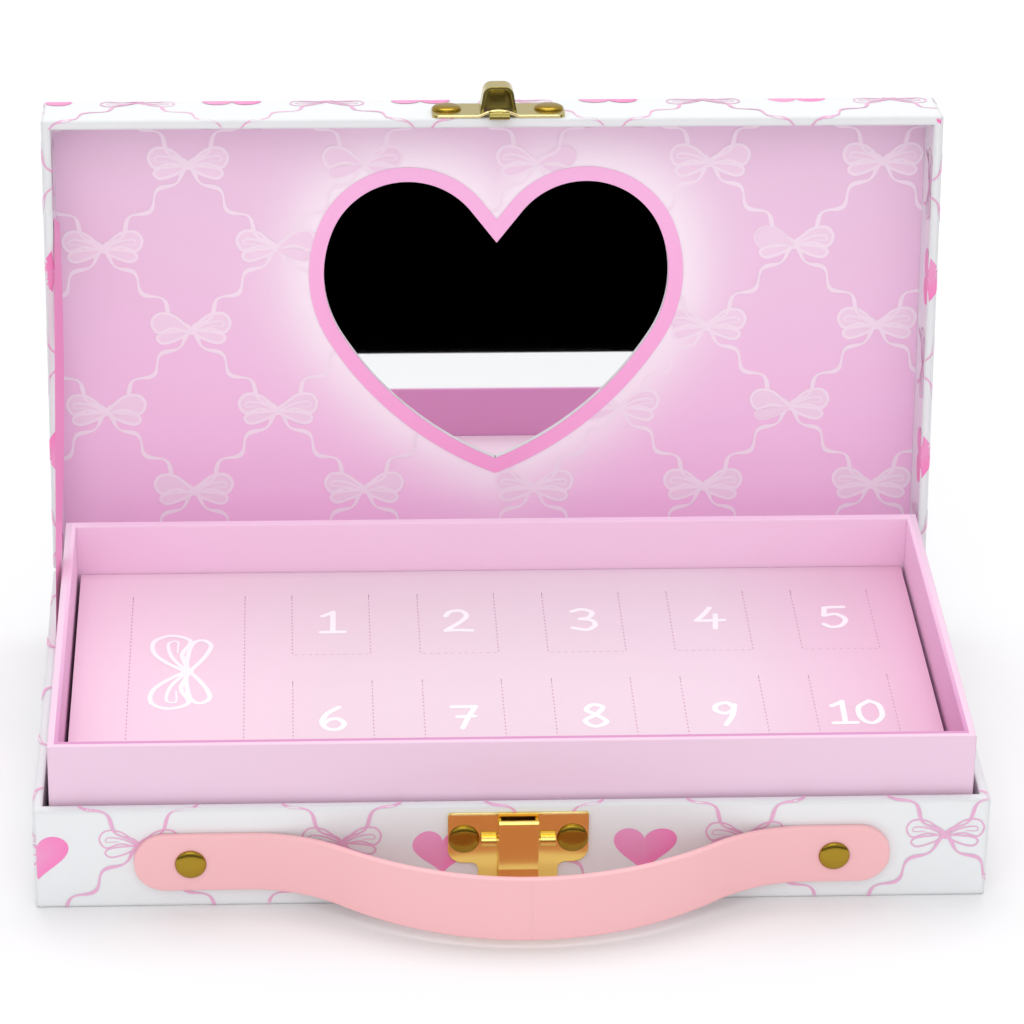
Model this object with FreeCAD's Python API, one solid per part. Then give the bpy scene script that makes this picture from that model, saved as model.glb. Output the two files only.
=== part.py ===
import FreeCAD, Part
import math
import os

from FreeCAD import Vector

# A paper-covered keepsake case that opens like a small suitcase, in millimetres.
# z = 0 is the underside of the base, x = y = 0 its middle, +X right, +Y towards the hinge, +Z up.

# The case and its boards
box_width = 245.0
box_depth = 129.0
base_height = 29.0
lid_open_angle = 97.8
rim_gap = 0.3
paper = 0.3
wall_board = 2.0
base_floor_board = 2.0
lid_panel_board = 1.7
edge_radius = 0.7
rim_inner_radius = 0.25
base_turn_in = 12.0
underside_turn_in = 15.0

# The lid's lining card and the mirror behind its heart
lining = 1.0
lining_gap = 0.3
mirror = 0.8
mirror_lap = 4.0
mirror_fit = 0.15
heart_offset = 1.6
heart_lobe_reach = 84.4
heart_lobes_apart = 49.4
heart_lobe_radius = 22.4
heart_flank_radius = 33.3
heart_side_radius = 92.5
heart_flank_turn = 22.75
heart_side_turn = -31.7
heart_notch_rise = 4.8
heart_point_radius = 1.2

# The paper hinge and the ribbon that stops the lid
hinge_leaf_height = 11.0
hinge_leaf_inset = 2.0
hinge_leaf_gap = 1.2
ribbon_width = 10.0
ribbon_thickness = 0.4
ribbon_wall_gap = 0.3
ribbon_lid_reach = 97.0
ribbon_lid_depth = 7.5
ribbon_base_drop = 4.0
ribbon_base_reach = 46.0
ribbon_glued_end = 6.0

# The tray glued into the base
tray_proud = 16.5
tray_side_gap = 1.6
tray_end_gap = 0.3
lid_swing_gap = 0.2
tray_wall_board = 2.2
tray_floor_board = 2.0
tray_headroom = 0.4
tray_rim_radius = 0.25

# The loose insert with its numbered doors
card = 0.5
insert_sink = 14.9
insert_side_gap = 1.0
insert_end_gap = 0.3
partition = 0.8
partition_gap = 0.1
door_columns = 5
door_rows = 2
door_width = 21.0
door_length = 33.0
side_door_width = 30.6
side_door_length = 83.0
side_door_margin = 14.9
side_door_spacing = 13.0
grid_right_margin = 11.5
grid_back_margin = 13.6
grid_front_margin = 21.8
perforation_gap = 0.12
crease_gap = 0.5

# Brass sheet, rivets and pin of the latch
sheet = 0.8
latch_offset = 1.2
latch_width = 36.0
latch_below_rim = 2.0
latch_ear_height = 14.6
latch_height = 23.0
latch_tongue_width = 20.4
latch_ear_radius = 4.0
latch_corner_radius = 0.8
rivet_spacing = 27.8
latch_rivet_drop = 7.4
lever_width = 10.3
lever_below_plate = 1.0
lever_stand = 3.0
lever_head_back = 2.1
lever_lip = 0.6
pin_radius = 0.6
pin_clearance = 0.05
pin_drop = 6.5
pin_stand = 0.9
knuckle_radius = 1.5
knuckle_width = 4.0
knuckle_gap = 0.4
flange_clearance = 0.4
tail_drop = 14.0
tail_length = 7.0
tail_flare = 1.6
spring_strip = 0.3
spring_width = 4.0
spring_gap = 0.3

# The strike on the lid's front wall
strike_height = 12.8
strike_above_rim = 0.4
strike_rivet_rise = 7.0
strike_corner_radius = 1.5
strike_shoulder_radius = 5.0
hood_width = 10.4
hood_top_width = 7.6
hood_height = 8.2
hood_length = 9.0
hood_rise = 1.8
hood_radius = 2.6
lip_width = 10.4
lip_bulge = 1.5
catch_width = 5.5
catch_stand = 1.1
catch_hook = 0.9
catch_depth = 0.8
catch_clearance = 0.5

# The rivets
cap_radius = 4.0
cap_height = 1.3
cap_edge = 0.3
cap_shoulder = 0.9
cap_shoulder_radius = 3.1
cap_top_radius = 1.6
shank_radius = 1.2
shank_clearance = 0.05

# The strap handle
handle_end_margin = 40.0
handle_height = 14.0
strap_width = 16.2
strap = 2.2
strap_end = 14.5
bow_start = 10.9
bow_shift = 3.9
bow_out = 19.6
bow_inner_radius = 49.0
bow_droop = 3.0
strap_split_inset = 25.6
strap_split_gap = 0.3

# Sizes that follow from the ones above
wall = wall_board + 2 * paper
front_y = -box_depth / 2
back_y = box_depth / 2
inner_half_width = box_width / 2 - wall
inner_half_depth = box_depth / 2 - wall
base_floor_z = paper + base_floor_board
rim_z = base_height + rim_gap
hinge_y = back_y
hinge_z = base_height + rim_gap / 2
tray_top = base_height + tray_proud
tray_half_width = inner_half_width - tray_side_gap
tray_back = inner_half_depth - tray_end_gap
lid_swing = hinge_y + inner_half_depth - lid_swing_gap
tray_front = hinge_y - math.sqrt(lid_swing ** 2 - (tray_top - hinge_z) ** 2)
tray_wall = tray_wall_board + 2 * paper
tray_floor_z = base_floor_z + tray_floor_board
lining_z = tray_top + tray_headroom
mirror_z = lining_z + lining
lid_panel_z = mirror_z + mirror
lid_top = lid_panel_z + lid_panel_board + paper
insert_half_width = tray_half_width - tray_wall - insert_side_gap
insert_back = tray_back - tray_wall - insert_end_gap
insert_front = tray_front + tray_wall + insert_end_gap
card_top = tray_top - insert_sink
card_bottom = card_top - card
insert_floor_z = tray_floor_z + card
latch_top = base_height - latch_below_rim
lever_top = latch_top - lever_below_plate
pin_out = sheet + pin_stand
pin_z = lever_top - pin_drop
latch_rivet_z = latch_top - latch_rivet_drop
handle_rivet_spacing = box_width - 2 * handle_end_margin
bow_half_length = handle_rivet_spacing / 2 - bow_start
strap_split = bow_half_length - strap_split_inset
strike_bottom = rim_z + strike_above_rim
handle_z = handle_height


def block(x0, x1, y0, y1, z0, z1):
    """A box between two corners."""
    return Part.makeBox(x1 - x0, y1 - y0, z1 - z0, Vector(x0, y0, z0))


def centred(half_x, half_y, z0, z1):
    """A box with its middle over the origin."""
    return block(-half_x, half_x, -half_y, half_y, z0, z1)


def case_core(z0, z1):
    """The square-cut board body of a case half, a paper's thickness inside its wrap."""
    return centred(box_width / 2 - paper, box_depth / 2 - paper, z0 + paper, z1 - paper)


def wrapped_case(z0, z1):
    """The outer body of a case half, its edges rounded by the paper drawn over them."""
    body = centred(box_width / 2, box_depth / 2, z0, z1)
    return body.makeFillet(edge_radius, body.Edges)


def edges_along(shape, axis):
    """The straight edges of a shape that run along one axis."""
    straight = [e for e in shape.Edges if e.Curve.TypeId == "Part::GeomLine"]
    return [e for e in straight if abs(e.tangentAt(e.FirstParameter).dot(axis)) > 1 - 1e-6]


def along_x(outline, x0, x1):
    """A solid whose outline holds (distance out from the front wall, height) and runs from x0 to x1."""
    points = [Vector(x0, front_y - out, z) for out, z in outline]
    return Part.Face(Part.makePolygon(points + points[:1])).extrude(Vector(x1 - x0, 0, 0))


def along_z(outline, z0, z1):
    """A solid whose outline holds (x, distance out from the front wall) and runs from z0 to z1."""
    points = [Vector(x, front_y - out, z0) for x, out in outline]
    return Part.Face(Part.makePolygon(points + points[:1])).extrude(Vector(0, 0, z1 - z0))


def opened(shape):
    """A lid piece, modelled closed, turned to the open lid's angle about the hinge."""
    turned = shape.copy()
    turned.rotate(Vector(0, hinge_y, hinge_z), Vector(-1, 0, 0), lid_open_angle)
    return turned


def rivet(x, z, stack):
    """A button-headed rivet through what lies on the wall and the board, flush with the inner paper."""
    reach = stack + wall - paper
    profile = [(0, -cap_height), (cap_top_radius, -cap_height), (cap_shoulder_radius, -cap_shoulder),
               (cap_radius, -cap_edge), (cap_radius, 0), (shank_radius, 0), (shank_radius, reach),
               (0, reach), (0, -cap_height)]
    section = Part.Face(Part.makePolygon([Vector(r, y, 0) for r, y in profile]))
    body = section.revolve(Vector(0, 0, 0), Vector(0, 1, 0), 360)
    body.translate(Vector(x, front_y - stack, z))
    return body


def rivet_hole(x, z, stack):
    """The hole that a rivet's shank needs."""
    return Part.makeCylinder(shank_radius + shank_clearance, stack + wall - paper,
                             Vector(x, front_y - stack, z), Vector(0, 1, 0))


def rivet_places(spacing, z, offset=0.0):
    return [(offset - spacing / 2, z), (offset + spacing / 2, z)]


def drilled(shape, places, stack):
    """A shape with the holes of a pair of rivets."""
    for x, z in places:
        shape = shape.cut(rivet_hole(x, z, stack))
    return shape


handle_rivet_places = rivet_places(handle_rivet_spacing, handle_z)
latch_rivet_places = rivet_places(rivet_spacing, latch_rivet_z, latch_offset)
strike_rivet_places = rivet_places(rivet_spacing, strike_bottom + strike_rivet_rise, latch_offset)


def base_rivets():
    """The rivets of the latch and the handle."""
    return Part.makeCompound([rivet(x, z, sheet) for x, z in latch_rivet_places]
                             + [rivet(x, z, strap) for x, z in handle_rivet_places])


def strike_rivets():
    """The rivets of the strike."""
    return opened(Part.makeCompound([rivet(x, z, sheet) for x, z in strike_rivet_places]))


def base_board():
    """The base's grey board: a floor and four walls."""
    body = case_core(0, base_height)
    cavity = centred(inner_half_width + paper, inner_half_depth + paper, base_floor_z, base_height)
    return drilled(drilled(body.cut(cavity), handle_rivet_places, strap), latch_rivet_places, sheet)


def rim_turned_in(outer, core, z_rim, z_end):
    """A paper skin round a board core, turned over its rim and down inside it to z_end."""
    low, high = min(z_rim, z_end), max(z_rim, z_end)
    flap = centred(inner_half_width + paper, inner_half_depth + paper, low, high)
    mouth = centred(inner_half_width, inner_half_depth, low, high)
    skin = outer.cut(core).fuse(flap.cut(core)).cut(mouth).removeSplitter()
    level = [e for e in skin.Edges if abs(e.BoundBox.ZMin - z_rim) + abs(e.BoundBox.ZMax - z_rim) < 1e-6]
    inner = [e for e in level if e.BoundBox.XMax < inner_half_width + paper / 2
             and e.BoundBox.XMin > -inner_half_width - paper / 2
             and abs(e.CenterOfMass.y) < inner_half_depth + paper / 2]
    return skin.makeFillet(rim_inner_radius, inner)


def base_wrap():
    """The printed paper round the base, over its rim and under its floor."""
    outer, core = wrapped_case(0, base_height), case_core(0, base_height)
    turned = base_height - base_turn_in
    hollow = centred(inner_half_width + paper, inner_half_depth + paper, turned, base_height - paper)
    skin = rim_turned_in(outer, core.cut(hollow), base_height, turned)
    window = centred(box_width / 2 - underside_turn_in, box_depth / 2 - underside_turn_in, 0, paper)
    skin = skin.cut(window)
    return drilled(drilled(skin, handle_rivet_places, strap), latch_rivet_places, sheet)


def base_bottom_sheet():
    """The paper sheet that closes the underside."""
    return centred(box_width / 2 - underside_turn_in, box_depth / 2 - underside_turn_in, 0, paper)


def lid_board():
    """The lid's grey board: a top panel and four walls."""
    body = case_core(rim_z, lid_top)
    cavity = centred(inner_half_width + paper, inner_half_depth + paper, rim_z, lid_panel_z)
    return opened(drilled(body.cut(cavity), strike_rivet_places, sheet))


def lid_wrap():
    """The printed paper round the lid, over its rim and up its inner walls."""
    outer, core = wrapped_case(rim_z, lid_top), case_core(rim_z, lid_top)
    hollow = centred(inner_half_width + paper, inner_half_depth + paper, rim_z + paper, lid_panel_z)
    skin = rim_turned_in(outer, core.cut(hollow), rim_z, lid_panel_z)
    return opened(drilled(skin, strike_rivet_places, sheet))


def heart_prism(grow, z0, z1):
    """A heart of four arcs and a straight notch flank on each half, standing grow outside the aperture."""
    turn_out, turn_in = math.radians(heart_flank_turn), math.radians(heart_side_turn)

    def towards(angle):
        return Vector(math.cos(angle), math.sin(angle), 0)

    lobe = Vector(heart_lobes_apart / 2, heart_lobe_reach, 0)
    flank = lobe - towards(turn_out) * (heart_flank_radius - heart_lobe_radius)
    side = flank - towards(turn_in) * (heart_side_radius - heart_flank_radius)
    to_lobe = lobe - Vector(0, heart_lobe_reach + heart_notch_rise, 0)
    slope = math.atan2(to_lobe.y, to_lobe.x) + math.asin(heart_lobe_radius / to_lobe.Length)
    notch = Vector(0, heart_lobe_reach + heart_notch_rise + grow / math.cos(slope), 0)
    tip_angle = -math.acos(-side.x / (heart_side_radius + grow))
    arcs = [(lobe, heart_lobe_radius + grow, slope + math.pi / 2, turn_out),
            (flank, heart_flank_radius + grow, turn_out, turn_in),
            (side, heart_side_radius + grow, turn_in, tip_angle)]

    def placed(point, mirrored):
        return Vector(heart_offset + (-point.x if mirrored else point.x), hinge_y - point.y, z0)

    edges = []
    for mirrored in (False, True):
        start = lobe + towards(slope + math.pi / 2) * (heart_lobe_radius + grow)
        edges.append(Part.makeLine(placed(notch, mirrored), placed(start, mirrored)))
        for centre, radius, a0, a1 in arcs:
            ends = [placed(centre + towards(a) * radius, mirrored) for a in (a0, (a0 + a1) / 2, a1)]
            edges.append(Part.Arc(*ends).toShape())
    return Part.Face(Part.Wire(Part.__sortEdges__(edges))).extrude(Vector(0, 0, z1 - z0))


def lining_blank(z0, z1):
    return centred(inner_half_width - lining_gap, inner_half_depth - lining_gap, z0, z1)


def lid_lining():
    """The printed lining card, die-cut with the heart."""
    window = heart_prism(0, lining_z, mirror_z)
    points = [e for e in edges_along(window, Vector(0, 0, 1)) if abs(e.CenterOfMass.x - heart_offset) < 1e-3]
    return opened(lining_blank(lining_z, mirror_z).cut(window.makeFillet(heart_point_radius, points)))


def mirror_spacer():
    """The card that fills the lid round the mirror, as thick as the mirror."""
    window = heart_prism(mirror_lap + mirror_fit, mirror_z, lid_panel_z)
    return opened(lining_blank(mirror_z, lid_panel_z).cut(window))


def heart_mirror():
    """The heart of mirrored sheet, wider than the aperture by a gluing lap."""
    return opened(heart_prism(mirror_lap, mirror_z, lid_panel_z))


def hinge_leaf(z0, z1):
    half = box_width / 2 - hinge_leaf_inset
    return block(-half, half, back_y, back_y + paper, z0, z1)


def hinge_leaf_base():
    """The half of the paper hinge strip that is glued to the base."""
    top = base_height - hinge_leaf_gap
    return hinge_leaf(top - hinge_leaf_height, top)


def hinge_leaf_lid():
    """The half of the paper hinge strip that is glued to the lid."""
    bottom = rim_z + hinge_leaf_gap
    return opened(hinge_leaf(bottom, bottom + hinge_leaf_height))


def stay_ribbon():
    """The ribbon from inside the base's left wall to the lid's left wall, taut when the lid is open."""
    angle = math.radians(lid_open_angle)
    along = Vector(0, -math.cos(angle), math.sin(angle))
    into = Vector(0, math.sin(angle), math.cos(angle))
    top = Vector(0, hinge_y, hinge_z) + along * ribbon_lid_reach + into * ribbon_lid_depth
    bottom = Vector(0, back_y - ribbon_base_reach, base_height - ribbon_base_drop)
    run = (top - bottom).Length + ribbon_glued_end
    strip = Part.makeBox(ribbon_thickness, ribbon_width, run)
    strip.translate(Vector(-inner_half_width + ribbon_wall_gap, -ribbon_width / 2, -ribbon_glued_end / 2))
    lean = math.degrees(math.atan2(top.y - bottom.y, top.z - bottom.z))
    strip.rotate(Vector(0, 0, 0), Vector(-1, 0, 0), lean)
    strip.translate(bottom)
    return strip


def tray_block(inset, z0, z1):
    """A box over the tray's plan, pulled in by an inset."""
    half = tray_half_width - inset
    return block(-half, half, tray_front + inset, tray_back - inset, z0, z1)


def tray_shell(inset, z1):
    """The tray's outer body less its hollow, for the board inside the paper or the whole wall."""
    return tray_block(inset, base_floor_z, z1).cut(tray_block(tray_wall - inset, tray_floor_z, z1))


def tray_board():
    """The tray's grey board."""
    return tray_shell(paper, tray_top - paper)


def tray_wrap():
    """The pink paper over the tray's outer walls, rim and inner walls."""
    whole = tray_shell(0, tray_top)
    rim = [e for e in whole.Edges if abs(e.BoundBox.ZMin - tray_top) < 1e-6]
    whole = whole.makeFillet(tray_rim_radius, rim)
    return whole.cut(tray_block(paper, base_floor_z, tray_floor_z)).cut(tray_board())


def door_places():
    """Each numbered door's name, left edge and back edge, row by row from the back left."""
    left = -insert_half_width + side_door_margin + side_door_width + side_door_spacing
    right = insert_half_width - grid_right_margin
    pitch = (right - left - door_width) / (door_columns - 1)
    back = insert_back - grid_back_margin
    front = insert_front + grid_front_margin
    row_pitch = (back - front - door_length) / (door_rows - 1)
    return [(f"door_{row * door_columns + column + 1}", left + column * pitch, back - row * row_pitch)
            for row in range(door_rows) for column in range(door_columns)]


def door_blanks():
    """Every door's name and its outline in the card: left, right, front and back edges."""
    blanks = {name: (x, x + door_width, y - door_length, y) for name, x, y in door_places()}
    x, y = -insert_half_width + side_door_margin, insert_back - grid_back_margin
    blanks["side_door"] = (x, x + side_door_width, y - side_door_length, y)
    return blanks


def door(blank):
    """One die-cut door, lying in its opening and creased along its back edge."""
    x0, x1, y0, y1 = blank
    return block(x0, x1, y0, y1, card_bottom, card_top)


def insert_block(inset, z0, z1):
    """A box over the insert's plan, pulled in by an inset."""
    half = insert_half_width - inset
    return block(-half, half, insert_front + inset, insert_back - inset, z0, z1)


def insert_card():
    """The printed top card, with an opening at each door."""
    top = insert_block(0, card_bottom, card_top)
    for x0, x1, y0, y1 in door_blanks().values():
        top = top.cut(block(x0 - perforation_gap, x1 + perforation_gap,
                            y0 - perforation_gap, y1 + crease_gap, card_bottom, card_top))
    return top


def insert_tray():
    """The folded card tray under the top card: a floor and four walls."""
    return insert_block(0, tray_floor_z, card_bottom).cut(insert_block(card, insert_floor_z, card_bottom))


def partition_lines():
    """Where the cross partitions stand: halfway between neighbouring columns of doors."""
    lefts = sorted({round(x, 6) for name, x, y in door_places()})
    pitch = lefts[1] - lefts[0]
    return [x - (pitch - door_width) / 2 for x in lefts]


def row_line():
    """Where the long partition stands: halfway between the two rows of doors."""
    backs = sorted({round(y, 6) for name, x, y in door_places()})
    return (backs[0] + backs[1] - door_length) / 2


def lap_z():
    return (insert_floor_z + card_bottom) / 2


def cross_partition(x):
    """A card partition from front to back, slotted from the top where the long one crosses it."""
    back, front = insert_back - card - partition_gap, insert_front + card + partition_gap
    wall_card = block(x - partition / 2, x + partition / 2, front, back, insert_floor_z, card_bottom)
    if x < partition_lines()[0] + partition:
        return wall_card
    slot = partition / 2 + partition_gap
    y = row_line()
    return wall_card.cut(block(x - partition, x + partition, y - slot, y + slot, lap_z(), card_bottom))


def long_partition():
    """The card partition between the two rows, slotted from below over the cross partitions."""
    y = row_line()
    left = partition_lines()[0] + partition / 2 + partition_gap
    right = insert_half_width - card - partition_gap
    wall_card = block(left, right, y - partition / 2, y + partition / 2, insert_floor_z, card_bottom)
    slot = partition / 2 + partition_gap
    for x in partition_lines()[1:]:
        notch = block(x - slot, x + slot, y - partition, y + partition, insert_floor_z, lap_z())
        wall_card = wall_card.cut(notch)
    return wall_card


def latch_plate():
    """The brass plate on the base: two ears for rivets, a tongue, and two knuckles for the lever's pin."""
    x = latch_offset
    ears = block(x - latch_width / 2, x + latch_width / 2, front_y - sheet, front_y,
                 latch_top - latch_ear_height, latch_top)
    tongue = block(x - latch_tongue_width / 2, x + latch_tongue_width / 2, front_y - sheet, front_y,
                   latch_top - latch_height, latch_top)
    plate = ears.fuse(tongue).removeSplitter()
    ear_z = latch_top - latch_ear_height

    def near(edge, half_width, z):
        middle = edge.CenterOfMass
        return abs(abs(middle.x - x) - half_width) < 1e-6 and abs(middle.z - z) < 1e-6

    for radius, half_width, z in ((latch_ear_radius, latch_width / 2, ear_z),
                                  (latch_corner_radius, latch_width / 2, latch_top),
                                  (latch_ear_radius / 2, latch_tongue_width / 2, ear_z)):
        corners = [e for e in edges_along(plate, Vector(0, 1, 0)) if near(e, half_width, z)]
        plate = plate.makeFillet(radius, corners)
    bore = Part.makeCylinder(pin_radius + pin_clearance, latch_width,
                             Vector(x - latch_width / 2, front_y - pin_out, pin_z), Vector(1, 0, 0))
    for side in (-1, 1):
        inner = x + side * (lever_width / 2 + knuckle_gap)
        outer = inner + side * knuckle_width
        barrel = Part.makeCylinder(knuckle_radius, knuckle_width,
                                   Vector(min(inner, outer), front_y - pin_out, pin_z), Vector(1, 0, 0))
        foot = block(min(inner, outer), max(inner, outer), front_y - pin_out, front_y - sheet / 2,
                     pin_z - knuckle_radius, pin_z + knuckle_radius)
        wall_side = block(min(inner, outer), max(inner, outer), front_y, front_y + pin_out + knuckle_radius,
                          pin_z - 2 * knuckle_radius, pin_z + 2 * knuckle_radius)
        plate = plate.fuse(barrel.fuse(foot).cut(wall_side))
    return drilled(plate.cut(bore).removeSplitter(), latch_rivet_places, sheet)


def latch_lever():
    """The pressed brass lever: a channel with a hooked head, rocking on its pin, and a flared tail."""
    x = latch_offset
    inner, outer = lever_stand, lever_stand + sheet
    waist = lever_top - tail_drop
    tail = waist - tail_length
    face = along_x([(lever_head_back, lever_top - sheet), (inner, lever_top - sheet), (inner, waist),
                    (inner + tail_flare, tail), (outer + tail_flare, tail), (outer, waist),
                    (outer, lever_top - lever_lip), (outer - lever_lip, lever_top),
                    (lever_head_back + lever_lip, lever_top),
                    (lever_head_back, lever_top - sheet + lever_lip / 3)],
                   x - lever_width / 2, x + lever_width / 2)
    back = sheet + flange_clearance
    cheek = [(back, lever_top - 2 * sheet), (inner, lever_top - sheet), (inner, waist),
             (back, pin_z - knuckle_radius)]
    for side in (-1, 1):
        edge = x + side * lever_width / 2
        face = face.fuse(along_x(cheek, min(edge, edge - side * sheet), max(edge, edge - side * sheet)))
    bore = Part.makeCylinder(pin_radius + pin_clearance, lever_width,
                             Vector(x - lever_width / 2, front_y - pin_out, pin_z), Vector(1, 0, 0))
    return face.removeSplitter().cut(bore)


def latch_pin():
    """The pin through the knuckles and the lever's cheeks."""
    length = lever_width + 2 * (knuckle_gap + knuckle_width)
    return Part.makeCylinder(pin_radius, length, Vector(latch_offset - length / 2, front_y - pin_out, pin_z),
                             Vector(1, 0, 0))


def latch_spring():
    """The leaf spring between the plate and the lever's tail."""
    foot = latch_top - latch_height + sheet
    bend = foot + (pin_z - foot) / 3
    top = pin_z - 2 * knuckle_radius
    reach = lever_stand - spring_gap
    outline = [(sheet, foot), (sheet + spring_strip, foot), (sheet + spring_strip, bend),
               (reach, top), (reach - spring_strip, top), (sheet, bend)]
    return along_x(outline, latch_offset - spring_width / 2, latch_offset + spring_width / 2)


def hood(inset):
    """The strike's hood, or with an inset its hollow: a tapered arch, closed at its far end."""
    foot, top = hood_width / 2 - inset, hood_top_width / 2 - inset
    z0 = strike_bottom + hood_rise
    outline = [(latch_offset - foot, 0), (latch_offset - top, hood_height - inset),
               (latch_offset + top, hood_height - inset), (latch_offset + foot, 0)]
    body = along_z(outline, z0, z0 + hood_length - inset)
    crown = front_y - hood_height + inset
    edges = [e for e in body.Edges if abs(e.BoundBox.YMin - crown) < 1e-6 and e.BoundBox.ZMax > z0 + 1e-6]
    return body.makeFillet(hood_radius - inset, edges)


def strike_plate():
    """The brass strike on the lid: ears, an arched lip, a hood, and a catch for the lever's head."""
    x, near, far = latch_offset, strike_bottom, strike_bottom + strike_height
    plate = block(x - latch_width / 2, x + latch_width / 2, front_y - sheet, front_y, near, far)
    for radius, z in ((strike_corner_radius, near), (strike_shoulder_radius, far)):
        corners = [e for e in edges_along(plate, Vector(0, 1, 0)) if abs(e.CenterOfMass.z - z) < 1e-6]
        plate = plate.makeFillet(radius, corners)
    half = lip_width / 2
    plate = plate.cut(block(x - half, x + half, front_y - sheet, front_y, near, near + hood_rise))

    def arch(out):
        return Part.Arc(Vector(x - half, front_y - out, near), Vector(x, front_y - lip_bulge - out, near),
                        Vector(x + half, front_y - out, near)).toShape()

    under, over = arch(0), arch(sheet)
    ends = [Part.makeLine(under.Vertexes[i].Point, over.Vertexes[i].Point) for i in (0, -1)]
    lip = Part.Face(Part.Wire(Part.__sortEdges__([under, over] + ends))).extrude(Vector(0, 0, hood_rise))
    hook_top = lever_top - sheet - catch_clearance
    hook_end = hook_top - catch_depth - sheet / 4
    root, back, tip = near + hood_rise / 2, catch_stand, catch_stand + sheet + catch_hook
    catch = along_x([(back, root), (back + sheet, root), (back + sheet, hook_top), (tip, hook_top),
                     (tip, hook_top - catch_depth / 4), (back + sheet, hook_end), (back, hook_end)],
                    x - catch_width / 2, x + catch_width / 2)
    plate = plate.fuse(hood(0)).cut(hood(sheet)).fuse(lip).fuse(catch).removeSplitter()
    return opened(drilled(plate, strike_rivet_places, sheet))


def strap_body():
    """The whole strap: flat ends on the wall and a bow of four arcs, in a plan that sinks with the bow."""
    end = handle_rivet_spacing / 2 + strap_end
    turn = 2 * math.atan2(bow_out, bow_half_length)
    crown_radius = bow_half_length / math.sin(turn) - bow_inner_radius
    tilt = math.atan2(bow_droop, bow_out)

    def at(x, out):
        """A point of the plan at the strap's lower edge."""
        return Vector(x, front_y - out * math.cos(tilt), handle_z - strap_width / 2 - out * math.sin(tilt))

    def half_bow(out, side):
        """Points along half the bow at a distance out from the strap's back, from the wall to the middle."""
        hollow, crown = bow_inner_radius - out, crown_radius + out
        for a in (0.0, turn / 2, turn):
            yield at(bow_shift + side * (bow_half_length - hollow * math.sin(a)),
                     bow_inner_radius - hollow * math.cos(a))
        for a in (turn / 2, 0.0):
            yield at(bow_shift + side * crown * math.sin(a), bow_out - crown_radius + crown * math.cos(a))

    def face(out):
        left, right = list(half_bow(out, -1)), list(half_bow(out, 1))
        return [Part.makeLine(at(-end, out), left[0]),
                Part.Arc(*left[0:3]).toShape(), Part.Arc(*left[2:5]).toShape(),
                Part.Arc(*right[4:1:-1]).toShape(), Part.Arc(*right[2::-1]).toShape(),
                Part.makeLine(right[0], at(end, out))]

    right, left = Part.makeLine(at(end, 0), at(end, strap)), Part.makeLine(at(-end, strap), at(-end, 0))
    outline = Part.Wire(face(0) + [right] + face(strap)[::-1] + [left])
    return Part.Face(outline).extrude(Vector(0, 0, strap_width))


def handle_piece(x0, x1):
    """The stretch of the strap between two planes across it."""
    reach = bow_out + strap + bow_droop + strap_width
    slab = block(x0, x1, front_y - reach, front_y + wall, handle_z - reach, handle_z + reach)
    return strap_body().common(slab)


def handle_bow():
    """The free middle of the strap, which lifts."""
    half = strap_split - strap_split_gap / 2
    return handle_piece(bow_shift - half, bow_shift + half)


def handle_tab(side):
    """A riveted end of the strap, rounded off and lying on the wall."""
    end = handle_rivet_spacing / 2 + strap_end
    near = bow_shift + side * (strap_split + strap_split_gap / 2)
    tab = handle_piece(min(near, side * end), max(near, side * end))
    radius = strap_width / 2
    nose = Part.makeCylinder(radius, 2 * strap, Vector(side * (end - radius), front_y + strap / 2, handle_z),
                             Vector(0, -1, 0))
    corner = block(min(side * (end - radius), side * end), max(side * (end - radius), side * end),
                   front_y - 2 * strap, front_y + strap, handle_z - 2 * radius, handle_z + 2 * radius)
    return drilled(tab.cut(corner.cut(nose)), handle_rivet_places, strap)


def pieces():
    """Every piece of the case by its name."""
    made = {
        "base_board": base_board(), "base_wrap": base_wrap(), "base_bottom_sheet": base_bottom_sheet(),
        "lid_board": lid_board(), "lid_wrap": lid_wrap(), "lid_lining": lid_lining(),
        "mirror_spacer": mirror_spacer(), "heart_mirror": heart_mirror(),
        "hinge_leaf_base": hinge_leaf_base(), "hinge_leaf_lid": hinge_leaf_lid(),
        "stay_ribbon": stay_ribbon(),
        "tray_board": tray_board(), "tray_wrap": tray_wrap(),
        "insert_card": insert_card(), "insert_tray": insert_tray(), "long_partition": long_partition(),
        "latch_plate": latch_plate(), "latch_lever": latch_lever(), "latch_pin": latch_pin(),
        "latch_spring": latch_spring(), "base_rivets": base_rivets(),
        "strike_plate": strike_plate(), "strike_rivets": strike_rivets(),
        "handle_tab_left": handle_tab(-1), "handle_tab_right": handle_tab(1), "handle_bow": handle_bow(),
    }
    for number, x in enumerate(partition_lines(), 1):
        made[f"cross_partition_{number}"] = cross_partition(x)
    for name, blank in door_blanks().items():
        made[name] = door(blank)
    return made


os.makedirs("parts", exist_ok=True)
for node, shape in pieces().items():
    shape.exportStep(f"parts/{node}.step")
    print(f"{node:20s} solids {len(shape.Solids)} volume {shape.Volume:10.2f} valid {shape.isValid()}")
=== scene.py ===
import math

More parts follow.
